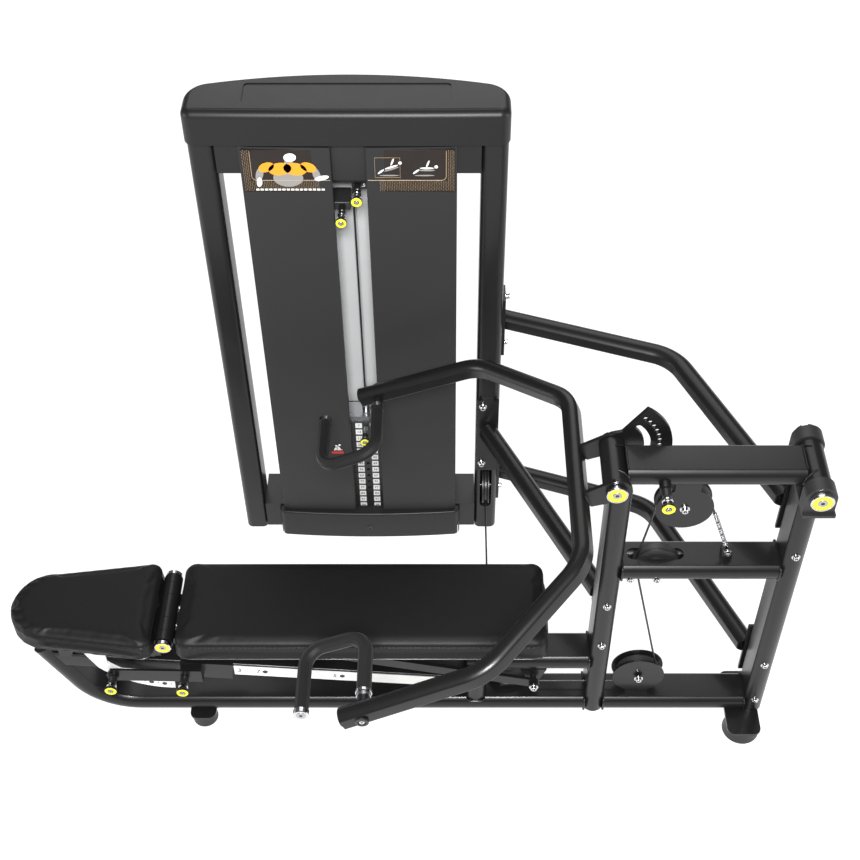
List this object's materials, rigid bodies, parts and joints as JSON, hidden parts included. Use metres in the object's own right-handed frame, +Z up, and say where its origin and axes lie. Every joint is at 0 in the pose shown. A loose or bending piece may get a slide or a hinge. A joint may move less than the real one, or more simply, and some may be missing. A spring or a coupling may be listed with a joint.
{
  "type": "multi press machine",
  "caption": "Selectorised bench press station: flat bench that inclines, pivoting lever with a bent press yoke, cable drive and a shrouded weight tower.",
  "frame": {"origin": "centre of the machine's footprint, on the floor", "axes": "+X along the bench from the seat to the lever pivot, +Y from the bench to the weight tower, +Z up"},
  "size_m": [1.98, 1.3199, 1.512],
  "materials": {
    "frame_paint": "satin black powder coat",
    "tower_paint": "satin charcoal powder coat",
    "shroud_paint": "fine textured charcoal powder coat",
    "panel_grey": "light grey powder coat",
    "cap_plastic": "moulded black ABS, fine grain",
    "scale_white": "white printed steel strip",
    "cast_black": "black painted casting",
    "rubber": "matte black rubber",
    "bolt_chrome": "bright plated steel",
    "rod_chrome": "hard chromed ground rod",
    "weight_iron": "black painted steel plate",
    "pulley_nylon": "turned black nylon",
    "cable_black": "black coated steel cable",
    "zinc": "zinc plated steel",
    "grip_rubber": "foam rubber grip",
    "pad_vinyl": "grained black vinyl",
    "pin_black": "black moulded knob on a steel pin"
  },
  "bodies": {
    "root": {"base_beams": "frame_paint", "rest_post": "frame_paint", "rear_post": "frame_paint", "mid_beam": "frame_paint", "bench_anchor_beam": "frame_paint", "slide_rail": "frame_paint", "rail_scale": "scale_white", "pillow_blocks": "cast_black", "rubber_feet_and_stops": "rubber", "frame_bolts": "bolt_chrome", "rear_braces": "frame_paint", "diagonal_brace": "frame_paint", "brace_flanges": "frame_paint", "tower_posts": "tower_paint", "tower_beams": "tower_paint", "tower_top_cap": "cap_plastic", "front_shrouds": "shroud_paint", "rear_panel": "panel_grey", "tower_base_cover": "cap_plastic", "guide_rods": "rod_chrome", "weight_plates": "weight_iron", "pulley_brackets": "frame_paint", "lift_cable": "cable_black", "anchor_cable": "cable_black", "anchor_chain": "zinc", "frame_cable": "cable_black", "stack_cable": "cable_black"},
    "lever": {"lever_beam": "frame_paint", "lever_shaft": "zinc", "pulley_hanger": "frame_paint", "lever_cable": "cable_black"},
    "yoke": {"press_yoke": "frame_paint", "yoke_brackets": "frame_paint", "arm_shaft": "zinc", "handle_bars": "frame_paint", "handle_grips": "grip_rubber", "handle_trim": "zinc"},
    "sector_pin": {"sector_pin": "pin_black"},
    "stack": {"top_weight_plate": "weight_iron", "selector_stem": "zinc"},
    "selector_pin": {"selector_pin": "pin_black"},
    "upper_add_on": {"add_on_weight_upper": "weight_iron"},
    "lower_add_on": {"add_on_weight_lower": "weight_iron"},
    "carriage": {"carriage": "frame_paint", "hinge_shaft": "zinc"},
    "carriage_pin": {"carriage_pin": "pin_black"},
    "seat_pin": {"seat_pin": "pin_black"},
    "seat": {"seat_pad": "pad_vinyl", "seat_frame": "frame_paint", "seat_arc_plate": "scale_white"},
    "back": {"back_pad": "pad_vinyl", "back_frame": "frame_paint"},
    "props": {"prop_arms": "frame_paint"},
    "moving_pulley": {"moving_pulley": "pulley_nylon"},
    "mid_pulley": {"mid_pulley": "pulley_nylon"},
    "base_pulley": {"base_pulley": "pulley_nylon"},
    "floor_pulley": {"floor_pulley": "pulley_nylon"},
    "foot_pulley": {"foot_pulley": "pulley_nylon"},
    "top_pulley_right": {"top_pulley_right": "pulley_nylon"},
    "top_pulley_left": {"top_pulley_left": "pulley_nylon"}
  },
  "joints": [
    {"name": "lever_pivot", "type": "hinge", "parent": "root", "child": "lever", "pos_m": [0.95, -0.135, 0.985], "axis": [0, 1, 0], "range_deg": [0, 28], "deforming": ["lift_cable", "anchor_cable"]},
    {"name": "arm_adjust", "type": "hinge", "parent": "lever", "child": "yoke", "pos_m": [0.497, -0.135, 0.985], "axis": [0, 1, 0], "range_deg": [-8.5, 51]},
    {"name": "sector_pin_pull", "type": "slide", "parent": "lever", "child": "sector_pin", "axis": [0, -1, 0], "range_m": [0, 0.014], "stiffness_N_per_m": 600, "springref_m": -0.02},
    {"name": "stack_lift", "type": "slide", "parent": "root", "child": "stack", "axis": [0, 0, 1], "range_m": [0, 0.27], "deforming": ["stack_cable"]},
    {"name": "selector_pull", "type": "slide", "parent": "stack", "child": "selector_pin", "axis": [0, -1, 0], "range_m": [0, 0.075]},
    {"name": "upper_add_on_drop", "type": "slide", "parent": "root", "child": "upper_add_on", "axis": [0, 0, -1], "range_m": [0, 0.4]},
    {"name": "lower_add_on_drop", "type": "slide", "parent": "root", "child": "lower_add_on", "axis": [0, 0, -1], "range_m": [0, 0.36]},
    {"name": "carriage_slide", "type": "slide", "parent": "root", "child": "carriage", "axis": [0.995, 0, -0.0995], "range_m": [0, 0.2]},
    {"name": "carriage_pin_pull", "type": "slide", "parent": "carriage", "child": "carriage_pin", "axis": [0, -1, 0], "range_m": [0, 0.014], "stiffness_N_per_m": 600, "springref_m": -0.02},
    {"name": "seat_pin_pull", "type": "slide", "parent": "carriage", "child": "seat_pin", "axis": [0, -1, 0], "range_m": [0, 0.014], "stiffness_N_per_m": 600, "springref_m": -0.02},
    {"name": "seat_tilt", "type": "hinge", "parent": "carriage", "child": "seat", "pos_m": [-0.592, -0.135, 0.437], "axis": [0, 1, 0], "range_deg": [0, 34]},
    {"name": "back_tilt", "type": "hinge", "parent": "carriage", "child": "back", "pos_m": [-0.592, -0.135, 0.437], "axis": [0, -1, 0], "range_deg": [0, 50]},
    {"name": "prop_tilt", "type": "hinge", "parent": "root", "child": "props", "pos_m": [0.346, -0.135, 0.2], "axis": [0, 1, 0], "range_deg": [0, 28.3]},
    {"name": "moving_pulley_turn", "type": "hinge", "parent": "lever", "child": "moving_pulley", "pos_m": [0.67, -0.135, 0.86], "axis": [0, 1, 0], "range_deg": [-127, 0]},
    {"name": "mid_pulley_turn", "type": "hinge", "parent": "root", "child": "mid_pulley", "pos_m": [0.628, -0.135, 0.641], "axis": [0, 1, 0], "range_deg": [0, 303]},
    {"name": "base_pulley_turn", "type": "hinge", "parent": "root", "child": "base_pulley", "pos_m": [0.63, -0.135, 0.168], "axis": [0, 1, 0], "range_deg": [-303, 0]},
    {"name": "floor_pulley_turn", "type": "hinge", "parent": "root", "child": "floor_pulley", "pos_m": [0.2825, -0.085, 0.118], "axis": [0, 0, 1], "range_deg": [0, 303]},
    {"name": "foot_pulley_turn", "type": "hinge", "parent": "root", "child": "foot_pulley", "pos_m": [0.2325, 0.529, 0.168], "axis": [1, 0, 0], "range_deg": [-303, 0]},
    {"name": "top_pulley_right_turn", "type": "hinge", "parent": "root", "child": "top_pulley_right", "pos_m": [0.1985, 0.579, 1.46], "axis": [0, 1, 0], "range_deg": [0, 445]},
    {"name": "top_pulley_left_turn", "type": "hinge", "parent": "root", "child": "top_pulley_left", "pos_m": [-0.083, 0.579, 1.46], "axis": [0, 1, 0], "range_deg": [0, 445]}
  ],
  "couplings": [
    {"joint": "stack_lift", "follows": "lever_pivot", "m_per_rad": 0.538},
    {"joint": "moving_pulley_turn", "follows": "lever_pivot", "ratio": -4.4833},
    {"joint": "mid_pulley_turn", "follows": "lever_pivot", "ratio": 10.76},
    {"joint": "base_pulley_turn", "follows": "lever_pivot", "ratio": -10.76},
    {"joint": "floor_pulley_turn", "follows": "lever_pivot", "ratio": 10.76},
    {"joint": "foot_pulley_turn", "follows": "lever_pivot", "ratio": -10.76},
    {"joint": "top_pulley_right_turn", "follows": "lever_pivot", "ratio": 15.823},
    {"joint": "top_pulley_left_turn", "follows": "lever_pivot", "ratio": 15.823},
    {"joint": "back_tilt", "follows": "carriage_slide", "rad_per_m": 4.3546},
    {"joint": "prop_tilt", "follows": "carriage_slide", "rad_per_m": 2.4609}
  ]
}
